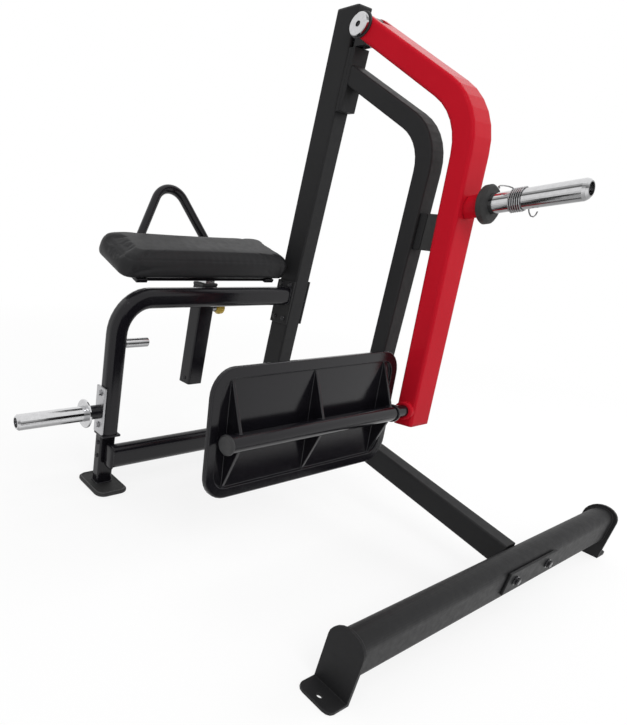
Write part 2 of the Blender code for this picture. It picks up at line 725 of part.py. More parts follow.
def build_weight_horn():
    """Neck with plated sleeve, rubber ring and end plug, standing off the arm."""
    arm = Vector((0.0, *ARM_CORNER)) - Vector((0.0, *ARM_BOTTOM))
    arm.normalize()
    normal = arm.cross(ACROSS).normalized()
    if normal.y > 0.0:
        normal = -normal
    face = Vector((0.0, *ARM_BOTTOM)) + normal * (ARM_DEPTH / 2.0 + GAP)
    start = (face - HORN_BASE).dot(normal) / HORN_WAY.dot(normal)
    neck = swept([HORN_BASE + HORN_WAY * start, HORN_BASE], circle(HORN_R + 0.004, 32), ACROSS, normal)
    place("weight_horn_neck", neck, red_paint("horn_root_paint"), ARM_ORIGIN)
    ring = ((GAP, HORN_R + GAP), (GAP, RING_R - 0.004), (0.004, RING_R), (RING - 0.005, RING_R),
            (RING, RING_R - 0.006), (RING, HORN_R + GAP))
    shell = turned(HORN_BASE, HORN_WAY, ring, 40, loop=True)
    place("horn_rubber_ring", shell, rubber("ring_rubber"), ARM_ORIGIN)
    tip = ARM_HORN_LENGTH
    sleeve = ((GAP, HORN_R), (tip - 0.010, HORN_R), (tip - 0.004, HORN_R - 0.003),
              (tip, HORN_R - 0.008), (tip, 0.0145), (tip - 0.014, 0.0145))
    shell = turned(HORN_BASE, HORN_WAY, sleeve, 40)
    place("weight_horn_sleeve", shell, chrome("weight_horn_chrome"), ARM_ORIGIN)


def clip_points():
    """Centre line of the wire clip: close turns with two bent grips."""
    up = ACROSS.cross(HORN_WAY)
    radius = HORN_R + CLIP_PLAY + WIRE_R
    points = []
    per_turn = 12
    total = CLIP_TURNS * per_turn + 4
    for i in range(total + 1):
        angle = 2.0 * math.pi * i / per_turn - math.pi * 0.5
        along = CLIP_START + CLIP_PITCH * i / per_turn
        centre = HORN_BASE + HORN_WAY * along
        points.append(centre + (ACROSS * math.cos(angle) + up * math.sin(angle)) * radius)
    first = (points[0] - points[1]).normalized()
    last = (points[-1] - points[-2]).normalized()
    for forward, side_way in ((0.008, 0.0), (0.018, -0.003), (0.027, -0.009), (0.031, -0.016),
                              (0.027, -0.021), (0.018, -0.023)):
        points.insert(0, points[0])
        points[0] = clip_grip(points, first, forward, side_way, radius, 0)
    end = points[-1].copy()
    for forward, side_way in ((0.008, 0.0), (0.018, 0.003), (0.027, 0.008), (0.030, 0.014),
                              (0.026, 0.018), (0.018, 0.020)):
        points.append(end + last * forward + HORN_WAY * side_way)
    return points


def clip_grip(points, way, forward, side_way, radius, start_angle):
    """One bend point of the first grip, measured from the first turn's start."""
    up = ACROSS.cross(HORN_WAY)
    angle = start_angle - math.pi * 0.5
    centre = HORN_BASE + HORN_WAY * CLIP_START
    root = centre + (ACROSS * math.cos(angle) + up * math.sin(angle)) * radius
    return root + way * forward + HORN_WAY * side_way


def wire(points, radius, sides=8):
    """One unbroken round wire through a row of points."""
    last = len(points) - 1
    frame = None
    rings = []
    for i, point in enumerate(points):
        along = (points[min(i + 1, last)] - points[max(i - 1, 0)]).normalized()
        if frame is None:
            frame = along.orthogonal().normalized()
        frame = (frame - along * frame.dot(along)).normalized()
        across = along.cross(frame)
        rings.append([point + frame * a + across * b for a, b in circle(radius, sides)])
    return loft(rings)


def least_gap(points, radius, skip):
    """Smallest free space between two stretches of the same wire."""
    fine = []
    for start, end in zip(points, points[1:]):
        fine += [start.lerp(end, step / 4.0) for step in range(4)]
    least = 1.0
    for i, point in enumerate(fine):
        for other in fine[i + skip * 4:]:
            least = min(least, (point - other).length)
    return least - 2.0 * radius


def build_clip():
    """Sprung wire clip that holds weight plates on the arm's horn."""
    points = clip_points()
    print("spring clip, least gap to itself in mm:", round(1000.0 * least_gap(points, WIRE_R, 4), 3))
    origin = HORN_BASE + HORN_WAY * CLIP_START
    place("spring_clip", wire(points, WIRE_R), zinc("clip_steel"), origin)


def build_axle():
    """Fixed shaft that carries the foot plate, with its end cap."""
    face = ARM_X / 2.0 + GAP
    ring = -AXLE_RING_X
    end = -AXLE_END_X
    profile = ((face, AXLE_BOSS_R), (face + 0.010, AXLE_BOSS_R), (face + 0.012, AXLE_NECK_R),
               (ring - 0.008, AXLE_NECK_R), (ring - 0.008, AXLE_BOSS_R - 0.001),
               (ring - 0.007, AXLE_BOSS_R), (ring - 0.001, AXLE_BOSS_R), (ring, AXLE_BOSS_R - 0.001),
               (ring, SHAFT_R), (end - GAP, SHAFT_R))
    shell = turned(AXLE_ORIGIN, -ACROSS, profile, 40)
    place("plate_axle", shell, gloss_black("axle_paint"), ARM_ORIGIN)
    cap = ((end, END_CAP_R - 0.001), (end + 0.001, END_CAP_R), (end + END_CAP * 0.6, END_CAP_R),
           (end + END_CAP, END_CAP_R - 0.005))
    shell = turned(AXLE_ORIGIN, -ACROSS, cap, 40)
    place("axle_end_cap", shell, black_plastic("axle_cap_plastic"), ARM_ORIGIN)


def plate_ring(shrink, y):
    """Outline of the foot plate at one depth, in its own frame."""
    width = PLATE_RIGHT - PLATE_LEFT - 2.0 * shrink
    outline = section(width, PLATE_HEIGHT - 2.0 * shrink, PLATE_CORNER - shrink, 8)
    return [Vector((a, y, b + PLATE_RISE)) for a, b in outline]


def build_foot_plate():
    """Rimmed plate with three triangular ribs welded to the tube that turns on the axle."""
    back = PLATE_FRONT + PLATE_THICK
    rings = [plate_ring(0.004, PLATE_FRONT), plate_ring(0.001, PLATE_FRONT + 0.001),
             plate_ring(0.0, PLATE_FRONT + 0.004), plate_ring(0.0, back - 0.002), plate_ring(0.002, back)]
    plate = place("foot_plate", loft(rings), gloss_black("plate_paint"), AXLE_ORIGIN, PLATE_PLACE)
    floor = back - PLATE_WEB
    pocket = [plate_ring(PLATE_RIM - 0.004, PLATE_FRONT - 0.003), plate_ring(PLATE_RIM, floor)]
    carve(plate, tool("plate_pocket", loft(pocket), AXLE_ORIGIN, PLATE_PLACE))
    low = AXLE_END_X + 0.001 - PLATE_MID_X
    high = AXLE_RING_X - GAP - PLATE_MID_X
    tube = turned((0.0, 0.0, 0.0), ACROSS, ((low, TUBE_R), (high, TUBE_R)), 40)
    carve(plate, tool("plate_tube", tube, AXLE_ORIGIN, PLATE_PLACE), "UNION")
    outline = ((floor + 0.002, RIB_HALF + PLATE_RISE), (-0.004, TUBE_R - 0.002),
               (-0.004, 0.002 - TUBE_R), (floor + 0.002, PLATE_RISE - RIB_HALF))
    for name, mid in (("left", -RIB_SPREAD), ("middle", 0.0), ("right", RIB_SPREAD)):
        rib = prism(outline, mid - RIB / 2.0, mid + RIB / 2.0)
        carve(plate, tool("rib_" + name, rib, AXLE_ORIGIN, PLATE_PLACE), "UNION")
    bore = turned((0.0, 0.0, 0.0), ACROSS, ((low - 0.02, SHAFT_R + GAP), (high + 0.02, SHAFT_R + GAP)), 40)
    carve(plate, tool("plate_bore", bore, AXLE_ORIGIN, PLATE_PLACE))


def build_sleeve():
    """Square sleeve behind the beam, its guide and the pull pin."""
    outer = section(SLEEVE_X, SLEEVE_Y, 0.006)
    inner = section(SLEEVE_X - 2.0 * SLEEVE_WALL, SLEEVE_Y - 2.0 * SLEEVE_WALL, 0.003)

    def ring(shape, z):
        return [Vector((POST_X + a, SLEEVE_MID_Y + b, z)) for a, b in shape]

    rings = [ring(outer, SLEEVE_LOW), ring(outer, SLEEVE_HIGH), ring(inner, SLEEVE_HIGH),
             ring(inner, SLEEVE_LOW)]
    sleeve = place("pad_sleeve", loft(rings, loop=True), gloss_black("sleeve_paint"))
    line = (POST_X, SLEEVE_MID_Y, PIN_Z)
    reach = SLEEVE_X / 2.0
    drill = turned(line, ACROSS, ((reach - 0.02, PIN_R + PIN_GAP), (reach + 0.02, PIN_R + PIN_GAP)), 24)
    carve(sleeve, tool("sleeve_hole", drill))
    bore = section(POST_SIZE + 2.0 * PIN_GAP, POST_SIZE + 2.0 * PIN_GAP, 0.005)
    low = SLEEVE_HIGH + GAP
    high = low + GUIDE
    lip = section(SLEEVE_X + 0.002, SLEEVE_Y + 0.002, 0.006)
    rings = [ring(lip, low), ring(lip, high - 0.002), ring(outer, high), ring(bore, high), ring(bore, low)]
    place("sleeve_guide", loft(rings, loop=True), black_plastic("guide_plastic"))
    near = reach + GAP
    far = near + BARREL_LENGTH
    hole = PIN_R + PIN_GAP
    barrel = ((near, hole), (near, BARREL_R + 0.002), (near + 0.006, BARREL_R + 0.002),
              (near + 0.007, BARREL_R), (far, BARREL_R), (far, hole))
    shell = turned(line, ACROSS, barrel, 24, loop=True)
    place("pin_barrel", shell, zinc("barrel_steel"))
    tip = POST_SIZE / 2.0 - PIN_REACH
    knob = far + PIN_GAP
    profile = ((tip, PIN_R - 0.0015), (tip + 0.0015, PIN_R), (knob, PIN_R), (knob, KNOB_R - 0.008),
               (knob + 0.006, KNOB_R - 0.006), (knob + 0.012, KNOB_R - 0.001),
               (knob + 0.018, KNOB_R), (knob + KNOB_LENGTH - 0.006, KNOB_R - 0.001),
               (knob + KNOB_LENGTH - 0.001, KNOB_R - 0.006), (knob + KNOB_LENGTH, KNOB_R - 0.012))
    shell = turned(line, ACROSS, profile, 24)
    surface = material("knob_yellow", (0.66, 0.42, 0.035), 0.4)
    place("pull_pin", shell, surface, line)


def build_pad_post():
    """Plated square post with a row of blind locking holes."""
    square = section(POST_SIZE, POST_SIZE, 0.004)
    under = PAD_PLACE @ Vector((0.0, 0.0, -CUSHION - BOARD - RAIL - 3.0 * GAP))
    slope = Vector((0.0, -math.sin(PAD_TILT), math.cos(PAD_TILT)))
    top = under.z + (SLEEVE_MID_Y - under.y) * math.tan(PAD_TILT)
    path = [Vector((POST_X, SLEEVE_MID_Y, z)) for z in (SLEEVE_LOW + 0.020, top)]
    shell = swept(path, square, ACROSS, None, slope)
    post = place("pad_post", shell, chrome("post_chrome"))
    holes = []
    for i in range(HOLE_COUNT):
        line = (POST_X, SLEEVE_MID_Y, PIN_Z - HOLE_PITCH * i)
        deep = POST_SIZE / 2.0 - 0.012
        profile = ((deep, PIN_R + PIN_GAP), (deep + 0.03, PIN_R + PIN_GAP))
        holes.append(turned(line, ACROSS, profile, 24))
    carve(post, tool("post_holes", join(holes)))


def pad_block(name, low, high, surface):
    """A block laid out in the pad's own tilted frame."""
    return place(name, soften(block(low, high), 0.0015), surface, matrix=PAD_PLACE)


def build_pad_frame():
    """Flat bars under the pad board and the grab handle behind it."""
    top = -CUSHION - BOARD - 2.0 * GAP
    low = top - RAIL
    half = PAD_DEPTH / 2.0
    rear = half + 0.016
    post_y = (SLEEVE_MID_Y - (PAD_PLACE @ Vector((0.0, 0.0, low))).y) / math.cos(PAD_TILT)
    wide = RAIL_WIDTH / 2.0
    for name, mid in (("left", -RAIL_SPREAD), ("right", RAIL_SPREAD)):
        pad_block("pad_rail_" + name, (mid - wide, 0.004 - half, low), (mid + wide, rear, top),
                  gloss_black("rail_" + name + "_paint"))
    reach = RAIL_SPREAD - wide - GAP
    pad_block("pad_cross_bar", (-reach, post_y - 0.032, low), (reach, post_y + 0.032, top),
              gloss_black("cross_bar_paint"))
    start = rear + GAP
    pad_block("pad_rear_bar", (-RAIL_SPREAD - wide, start, low),
              (RAIL_SPREAD + wide, start + REAR_BAR, top), gloss_black("rear_bar_paint"))
    foot = PAD_PLACE @ Vector((0.0, start + REAR_BAR / 2.0, top + GAP))
    corners = [(PAD_X - HANDLE_FOOT, foot.y, foot.z), (PAD_X - HANDLE_TOP, HANDLE_TOP_Y, HANDLE_TOP_Z),
               (PAD_X + HANDLE_TOP, HANDLE_TOP_Y, HANDLE_TOP_Z), (PAD_X + HANDLE_FOOT, foot.y, foot.z)]
    rise = Vector((0.0, HANDLE_TOP_Y - foot.y, HANDLE_TOP_Z - foot.z))
    slope = Vector((0.0, -math.sin(PAD_TILT), math.cos(PAD_TILT)))
    path = bent_path(corners, HANDLE_BEND, math.radians(10.0))
    shell = swept(path, circle(HANDLE_R, 16), ACROSS.cross(rise), slope, slope)
    place("handle_tube", shell, gloss_black("handle_paint"))


def cushion_ring(shrink, z):
    """Outline of the pad at one height, in the pad's own frame."""
    corner = max(PAD_CORNER - shrink, 0.012)
    outline = section(PAD_WIDTH - 2.0 * shrink, PAD_DEPTH - 2.0 * shrink, corner, 6)
    return [Vector((a, b, z)) for a, b in outline]


def build_pad():
    """Board and crowned cushion whose sides draw in towards the board."""
    low = -CUSHION - GAP
    rings = [cushion_ring(0.007, low - BOARD), cushion_ring(0.006, low - BOARD + 0.002),
             cushion_ring(0.006, low)]
    place("pad_board", loft(rings), black_plastic("board_black"), matrix=PAD_PLACE)
    rings = []
    for shrink, z in ((0.006, -0.062), (0.003, -0.056), (0.001, -0.046), (0.0, -0.034), (0.0005, -0.024),
                      (0.003, -0.015), (0.008, -0.008), (0.016, -0.004), (0.032, -0.0015), (0.060, 0.0)):
        rings.append(cushion_ring(shrink, z))
    surface = material("pad_vinyl", (0.010, 0.010, 0.011), 0.45)
    place("pad_cushion", loft(rings), surface, matrix=PAD_PLACE)


clear_scene()
build_column()
build_side_base()
build_left_post()
build_leg_and_beam()
build_storage_horn()
build_band_peg()
build_front_base()
build_support()
build_pivot()
build_arm()
build_weight_horn()
build_clip()
build_axle()
build_foot_plate()
build_sleeve()
build_pad_post()
build_pad_frame()
build_pad()
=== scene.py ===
import math

import bmesh
import bpy
from mathutils import Matrix, Vector


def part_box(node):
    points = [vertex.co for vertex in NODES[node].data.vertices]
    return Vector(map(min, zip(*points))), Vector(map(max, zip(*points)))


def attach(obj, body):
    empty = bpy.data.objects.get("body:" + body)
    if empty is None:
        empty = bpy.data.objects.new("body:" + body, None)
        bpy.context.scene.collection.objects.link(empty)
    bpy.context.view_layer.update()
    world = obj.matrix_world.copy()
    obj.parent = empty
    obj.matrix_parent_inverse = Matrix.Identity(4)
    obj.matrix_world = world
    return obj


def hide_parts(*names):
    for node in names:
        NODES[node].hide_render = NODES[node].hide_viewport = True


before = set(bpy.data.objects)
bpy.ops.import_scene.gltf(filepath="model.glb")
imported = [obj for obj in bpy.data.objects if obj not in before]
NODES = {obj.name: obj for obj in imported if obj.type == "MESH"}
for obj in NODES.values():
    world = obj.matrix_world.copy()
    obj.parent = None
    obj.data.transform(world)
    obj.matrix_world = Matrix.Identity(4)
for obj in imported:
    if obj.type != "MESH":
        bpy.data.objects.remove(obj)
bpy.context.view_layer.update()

# The picture is an off-centre crop of a wider one, so the lens is shifted to its own centre.
PICTURE_PX = (627.0, 725.0)
CENTRE_PX = (99.27, 425.13)
FOCAL_PX = 521.1
SENSOR_MM = 36.0
CAMERA_AT = Vector((-1.5819, -1.3472, 0.9073))
RIGHT = Vector((0.8714, -0.4840, 0.0800))
DOWN = Vector((-0.1296, -0.3843, -0.9141))
FORWARD = Vector((0.4731, 0.7862, -0.3976))

# Painted reflection in the plating's colour, of a darker room below eye level: brightness against how far
# a face looks up.
PAINTED_ROOM_REFLECTION = ((0.0, 0.35), (0.30, 0.48), (0.44, 0.90), (0.54, 0.88),
              (0.61, 0.16), (0.68, 0.42), (0.76, 0.96), (1.0, 1.0))

# Sockets of the mix node that hold its factor, its two colours and its result.
MIX_SHARE, MIX_FIRST, MIX_SECOND = 0, 6, 7
MIX_RESULT = 2

# Softened edges, and the paler line along them: partly worn paint, partly a painted highlight.
BEVEL_SAMPLES = 4
EDGE_WEAR_AND_HIGHLIGHT_WIDTH = 0.002
EDGE_WEAR_AND_HIGHLIGHT_STOPS = ((0.80, 0.55), (0.985, 0.0))
SHARP_ANGLE = math.radians(38.0)

# Fine grain of moulded rubber and plastic.
GRAIN_DEPTH = 0.0001
GRAIN_SCALE = 900.0
GRAIN_EDGE = 0.0008

# Points of a quarter turn in a rounded loop, and sides of a turned piece and of a hexagon.
CORNER_STEPS = 6
ROUND_SIDES = 40
HEXAGON = 6

# Weld beads: sides of the bead, spacing of its rings, ripple and gap to the tube.
WELD_SIDES = 8
WELD_STEP = 0.0012
WELD_RIPPLE = 0.16
WELD_PITCH = 0.0048
WELD_OUT = 0.001
POST_WELD, POST_WELD_UP, POST_CORNER = 0.0028, 0.0008, 0.007
BEAM_WELD, BEAM_WELD_BACK, BEAM_CORNER = 0.0030, 0.0006, 0.010
BAR_WELD, BAR_WELD_IN = 0.0026, 0.0012
BEAM_HEIGHT = 0.057

# Rim moulded round the top of the rubber foot.
RIM_INSET = 0.014
RIM_CORNER = 0.024
RIM_STEP = 0.002
RIM_RADIUS = 0.0020

# Washer: metres out of the face and radius as a share of the head's. Head: shares of its radius.
WASHER = ((-0.0005, 1.18), (0.0012, 1.18), (0.0016, 1.10))
WASHER_SIDES = 28
HEAD_START = 0.001
HEAD = ((0.62, 1.0), (0.78, 0.86))

# Bolts and nuts: sizes over the corners, and where they sit on their pieces.
POST_BOLT, BRACKET_NUT, FLANGE_BOLT, SLEEVE_BOLT = 0.014, 0.018, 0.015, 0.013
NUT_GAP = 0.0005
POST_BOLT_Y = 0.003
POST_BOLT_HEIGHTS = (("upper", 0.163), ("lower", 0.114))
FLANGE_BOLT_INSET = 0.018
FLANGE_BOLT_DOWN = 0.014
FLANGE_BOLT_UP = 0.020
SLEEVE_BOLT_UP = 0.018

# The pad in its own frame: X along it, Z out of its face. Profile: (drawn in, height of the ring).
PAD_MIDDLE = Vector((-0.388, 0.0725, 0.7935))
PAD_TILT = 0.3185
PAD_WIDE = 0.694
PAD_DEEP = 0.204
PAD_SET_BACK = 0.0015
PAD_CORNER = 0.040
PAD_LEAST_CORNER = 0.012
PAD_STEP = 0.012
PAD_PROFILE = ((0.009, -0.0725), (0.004, -0.068), (0.001, -0.058), (0.0, -0.044), (0.001, -0.031),
               (0.005, -0.020), (0.011, -0.0115), (0.021, -0.005), (0.038, -0.001), (0.060, 0.0))
VOXEL = 0.0048
CLOTH_PRESSURE = 4.0
CLOTH_FRAMES = 20
HELD_HEIGHT = 0.006
PUFF = 0.006

# The seam round the pad's top panel, and the puckers beside it.
SEAM_DEPTH = 0.016
SEAM_WIDTH = 0.0028
SEAM_DRAW = 0.0011
PUCKER_WIDTH = 0.012
PUCKER_DRAW = 0.0005
PUCKER_WAVES = 210.0
PUCKER_DRIFT = 60.0

# Handle: half the width of its feet, that width per metre of height, its lean and its bend.
HANDLE_X = -0.388
HANDLE_SPREAD = 0.171
HANDLE_FLARE = 0.657
HANDLE_LEAN = 0.395
HANDLE_BEND = 0.071
HANDLE_BEND_STEPS = 16
HANDLE_R = 0.0155
HANDLE_SIDES = 20

# Turned pieces: (metres along the axis, radius).
FAR_DISC = ((0.0, 0.024), (0.0045, 0.024), (0.0055, 0.023))
FAR_CAP = ((0.0058, 0.020), (0.0150, 0.020), (0.0175, 0.0175))
SOCKET = ((0.0, 0.0072), (0.0012, 0.0072), (0.0014, 0.0068))
SOCKET_DEPTH = 0.0048
AXLE_BOSS = ((0.0, 0.0272), (0.0105, 0.0272), (0.0135, 0.0245), (0.0140, 0.0195))
AXLE_BOSS_SIDES = 44
AXLE_BOSS_GAP = 0.0004
PLATE_SHAFT = Vector((0.0, -0.549, 0.402))

# Rounded end of the side tube: (metres out, metres drawn in).
TUBE_END = ((0.0, 0.0), (0.004, 0.0), (0.0065, 0.0012), (0.0085, 0.0045), (0.0092, 0.010))
TUBE_CORNER = 0.012
TUBE_STEP = 0.004

WHITE = (1.0, 1.0, 1.0, 1.0)
FLOOR_RADIUS = 60.0
FLOOR_SIDES = 96
FLOOR_AT = (-0.2, -0.3, -0.0005)
# The floor turns into the white surround with distance: (distance as a share of the reach, share).
FLOOR_REACH = 4.0
FLOOR_BLEND = ((0.15, 0.80), (0.85, 1.0))
WORLD_LIGHT = 0.55

# Lamps: name, place, target, size, power, seen in reflections.
LAMPS = (("key", (-1.6, -2.6, 3.0), (-0.2, -0.4, 0.6), 1.6, 36.0, False),
         ("fill", (2.6, -1.6, 2.2), (0.0, -0.4, 0.7), 1.8, 48.0, False),
         ("top", (-0.2, 0.6, 3.6), (-0.2, -0.2, 0.6), 2.2, 30.0, False),
         ("strip", (-1.9, -0.9, 2.9), (-0.4, -0.4, 0.4), 0.35, 6.0, True))


def add_camera():
    """Camera at the photo's own place and angle."""
    width, height = PICTURE_PX
    lens = bpy.data.cameras.new("view")
    lens.sensor_width = SENSOR_MM
    lens.lens = FOCAL_PX / height * SENSOR_MM
    lens.shift_x = (width / 2.0 - CENTRE_PX[0]) / height
    lens.shift_y = (CENTRE_PX[1] - height / 2.0) / height
    lens.clip_start = 0.05
    item = bpy.data.objects.new("view", lens)
    bpy.context.scene.collection.objects.link(item)
    turn = Matrix((RIGHT, -DOWN, -FORWARD)).transposed().to_4x4()
    item.matrix_world = Matrix.Translation(CAMERA_AT) @ turn
    bpy.context.scene.camera = item


def link(tree, start, end):
    """Join an output socket to an input socket."""
    tree.links.new(start, end)


def node(tree, kind, **settings):
    """Add a node, set its own fields, and any input given as a socket name in inputs."""
    inputs = settings.pop("inputs", {})
    made = tree.nodes.new(kind)
    for key, value in settings.items():
        setattr(made, key, value)
    for key, value in inputs.items():
        made.inputs[key].default_value = value
    return made


def ramp(tree, source, stops):
    """Grey ramp on a value: stops are (place, grey)."""
    made = tree.nodes.new("ShaderNodeValToRGB")
    steps = made.color_ramp.elements
    while len(steps) < len(stops):
        steps.new(0.5)
    for step, (place, grey) in zip(steps, stops):
        step.position = place
        step.color = (grey, grey, grey, 1.0)
    link(tree, source, made.inputs["Fac"])
    return made.outputs["Color"]


def start_material(name):
    """A new material with its tree, shader and object coordinates."""
    made = bpy.data.materials.new(name)
    made.use_nodes = True
    tree = made.node_tree
    shader = tree.nodes["Principled BSDF"]
    place = tree.nodes.new("ShaderNodeTexCoord").outputs["Object"]
    return made, tree, shader, place


def noise(tree, place, scale, detail=3.0, rough=0.55):
    """Noise value at a scale in waves per metre."""
    inputs = {"Scale": scale, "Detail": detail, "Roughness": rough}
    made = node(tree, "ShaderNodeTexNoise", inputs=inputs)
    link(tree, place, made.inputs["Vector"])
    return made.outputs["Fac"]


def mixed(tree, factor, low, high):
    """Colour between two colours."""
    made = node(tree, "ShaderNodeMix", data_type="RGBA")
    made.inputs[MIX_FIRST].default_value = (*low, 1.0)
    made.inputs[MIX_SECOND].default_value = (*high, 1.0)
    link(tree, factor, made.inputs[MIX_SHARE])
    return made.outputs[MIX_RESULT]


def softened(tree, width):
    """Normal rounded over the edges within a width."""
    made = node(tree, "ShaderNodeBevel", samples=BEVEL_SAMPLES, inputs={"Radius": width})
    return made.outputs["Normal"]


def bumped(tree, shader, height, distance, strength=1.0, edge=0.0):
    """Bump from a height, over softened edges if asked."""
    made = node(tree, "ShaderNodeBump", inputs={"Strength": strength, "Distance": distance})
    link(tree, height, made.inputs["Height"])
    if edge:
        link(tree, softened(tree, edge), made.inputs["Normal"])
    link(tree, made.outputs["Normal"], shader.inputs["Normal"])


def edge_wear_and_highlight(tree):
    """Mask of worn paint and painted highlight: rises along sharp edges, from how far a softened normal
    leans from the true one.
    """
    plain = tree.nodes.new("ShaderNodeNewGeometry")
    lean = node(tree, "ShaderNodeVectorMath", operation="DOT_PRODUCT")
    link(tree, softened(tree, EDGE_WEAR_AND_HIGHLIGHT_WIDTH), lean.inputs[0])
    link(tree, plain.outputs["Normal"], lean.inputs[1])
    return ramp(tree, lean.outputs["Value"], EDGE_WEAR_AND_HIGHLIGHT_STOPS)


def paint(name, colour, dust, edge_wear_and_highlight_colour, roughness, spread, gloss, edge, peel=0.00012, peel_scale=420.0):
    """Powder coat: faint mottling, uneven gloss, orange peel and paler edges of worn paint and painted
    highlight.
    """
    made, tree, shader, place = start_material(name)
    ground = mixed(tree, noise(tree, place, scale=7.0, detail=4.0), colour, dust)
    top = node(tree, "ShaderNodeMix", data_type="RGBA")
    # Paler edges: partly worn paint, partly a painted highlight.
    link(tree, edge_wear_and_highlight(tree), top.inputs[MIX_SHARE])
    link(tree, ground, top.inputs[MIX_FIRST])
    top.inputs[MIX_SECOND].default_value = (*edge_wear_and_highlight_colour, 1.0)
    link(tree, top.outputs[MIX_RESULT], shader.inputs["Base Color"])
    grain = noise(tree, place, scale=60.0, detail=5.0)
    rough = ramp(tree, grain, ((0.25, roughness), (0.8, roughness + spread)))
    link(tree, rough, shader.inputs["Roughness"])
    shader.inputs["Specular IOR Level"].default_value = gloss
    bumped(tree, shader, noise(tree, place, peel_scale, detail=2.0), peel, edge=edge)
    return made


def plated(name, colour, dark, roughness):
    """Bright plating with fine lines, slightly uneven tone and a painted reflection of a room in its
    colour.
    """
    made, tree, shader, place = start_material(name)
    lines = noise(tree, place, scale=120.0, detail=4.0, rough=0.6)
    # Painted reflection: the colour is darkened in bands by how far each face looks up.
    facing = tree.nodes.new("ShaderNodeSeparateXYZ")
    link(tree, tree.nodes["Texture Coordinate"].outputs["Normal"], facing.inputs[0])
    height = node(tree, "ShaderNodeMath", operation="MULTIPLY_ADD")
    link(tree, facing.outputs["Z"], height.inputs[0])
    height.inputs[1].default_value = 0.5
    height.inputs[2].default_value = 0.5
    painted_reflection_mix = node(tree, "ShaderNodeMix", data_type="RGBA", blend_type="MULTIPLY")
    painted_reflection_mix.inputs[MIX_SHARE].default_value = 1.0
    link(tree, mixed(tree, lines, colour, dark), painted_reflection_mix.inputs[MIX_FIRST])
    link(tree, ramp(tree, height.outputs[0], PAINTED_ROOM_REFLECTION), painted_reflection_mix.inputs[MIX_SECOND])
    link(tree, painted_reflection_mix.outputs[MIX_RESULT], shader.inputs["Base Color"])
    shader.inputs["Metallic"].default_value = 1.0
    grain = noise(tree, place, scale=30.0, detail=4.0)
    rough = ramp(tree, grain, ((0.3, roughness), (0.75, roughness + 0.08)))
    link(tree, rough, shader.inputs["Roughness"])
    bumped(tree, shader, lines, distance=0.00003)
    return made


def moulded(name, colour, pale, roughness):
    """Moulded rubber or plastic with a fine matt grain."""
    made, tree, shader, place = start_material(name)
    tone = mixed(tree, noise(tree, place, scale=25.0, detail=4.0), colour, pale)
    link(tree, tone, shader.inputs["Base Color"])
    grain = noise(tree, place, scale=90.0)
    rough = ramp(tree, grain, ((0.3, roughness), (0.8, roughness + 0.15)))
    link(tree, rough, shader.inputs["Roughness"])
    bumped(tree, shader, noise(tree, place, GRAIN_SCALE, detail=2.0), GRAIN_DEPTH, edge=GRAIN_EDGE)
    return made


def vinyl():
    """Black upholstery vinyl: fine pebble grain with a soft sheen."""
    made, tree, shader, place = start_material("vinyl")
    cloud = noise(tree, place, scale=9.0, detail=4.0)
    tone = mixed(tree, cloud, (0.010, 0.010, 0.011), (0.016, 0.016, 0.017))
    link(tree, tone, shader.inputs["Base Color"])
    cells = node(tree, "ShaderNodeTexVoronoi", feature="SMOOTH_F1", inputs={"Scale": 640.0})
    link(tree, place, cells.inputs["Vector"])
    rough = ramp(tree, noise(tree, place, scale=40.0, detail=4.0), ((0.3, 0.40), (0.8, 0.50)))
    link(tree, rough, shader.inputs["Roughness"])
    shader.inputs["Specular IOR Level"].default_value = 0.20
    bumped(tree, shader, cells.outputs["Distance"], distance=0.00006, strength=0.6)
    return made


def dress(material, names):
    """Give CAD nodes a material."""
    for name in names.split():
        slots = NODES[name].data.materials
        if slots:
            slots[0] = material
        else:
            slots.append(material)


def finish_piece(name, mesh, material, body, slot, *replaced):
    """Put a mesh in the scene as a finished piece that moves with a body."""
    made = bpy.data.objects.new(name, mesh)
    bpy.context.scene.collection.objects.link(made)
    mesh.materials.clear()
    mesh.materials.append(material)
    mesh.shade_smooth()
    mesh.set_sharp_from_angle(angle=SHARP_ANGLE)
    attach(made, body)
    if replaced:
        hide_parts(*replaced)
    return made


def middle_of(name):
    """Centre of a CAD node's box."""
    low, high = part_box(name)
    return (low + high) / 2.0


def swept_mesh(name, rings, closed=False):
    """Skin over rings of equal length, closed on itself or capped at both ends."""
    shape = bmesh.new()
    rows = [[shape.verts.new(point) for point in ring] for ring in rings]
    pairs = list(zip(rows, rows[1:]))
    if closed:
        pairs.append((rows[-1], rows[0]))
    for low, high in pairs:
        for i in range(len(low)):
            j = (i + 1) % len(low)
            shape.faces.new((low[i], low[j], high[j], high[i]))
    if not closed:
        shape.faces.new(rows[0][::-1])
        shape.faces.new(rows[-1])
    bmesh.ops.recalc_face_normals(shape, faces=shape.faces)
    mesh = bpy.data.meshes.new(name)
    shape.to_mesh(mesh)
    shape.free()
    return mesh


def circle(centre, side, up, radius, sides):
    """Points round a circle in the plane of two directions."""
    turns = [2.0 * math.pi * k / sides for k in range(sides)]
    return [centre + (side * math.cos(turn) + up * math.sin(turn)) * radius for turn in turns]


def lathe_mesh(name, at, way, profile, sides=ROUND_SIDES):
    """Turned piece, or a hexagonal one with six sides: profile is (along, radius)."""
    way = Vector(way)
    side = way.orthogonal().normalized()
    up = way.cross(side)
    rings = [circle(Vector(at) + way * along, side, up, radius, sides) for along, radius in profile]
    return swept_mesh(name, rings)


def join_meshes(name, meshes):
    """One mesh from several."""
    shape = bmesh.new()
    for mesh in meshes:
        shape.from_mesh(mesh)
        bpy.data.meshes.remove(mesh)
    made = bpy.data.meshes.new(name)
    shape.to_mesh(made)
    shape.free()
    return made


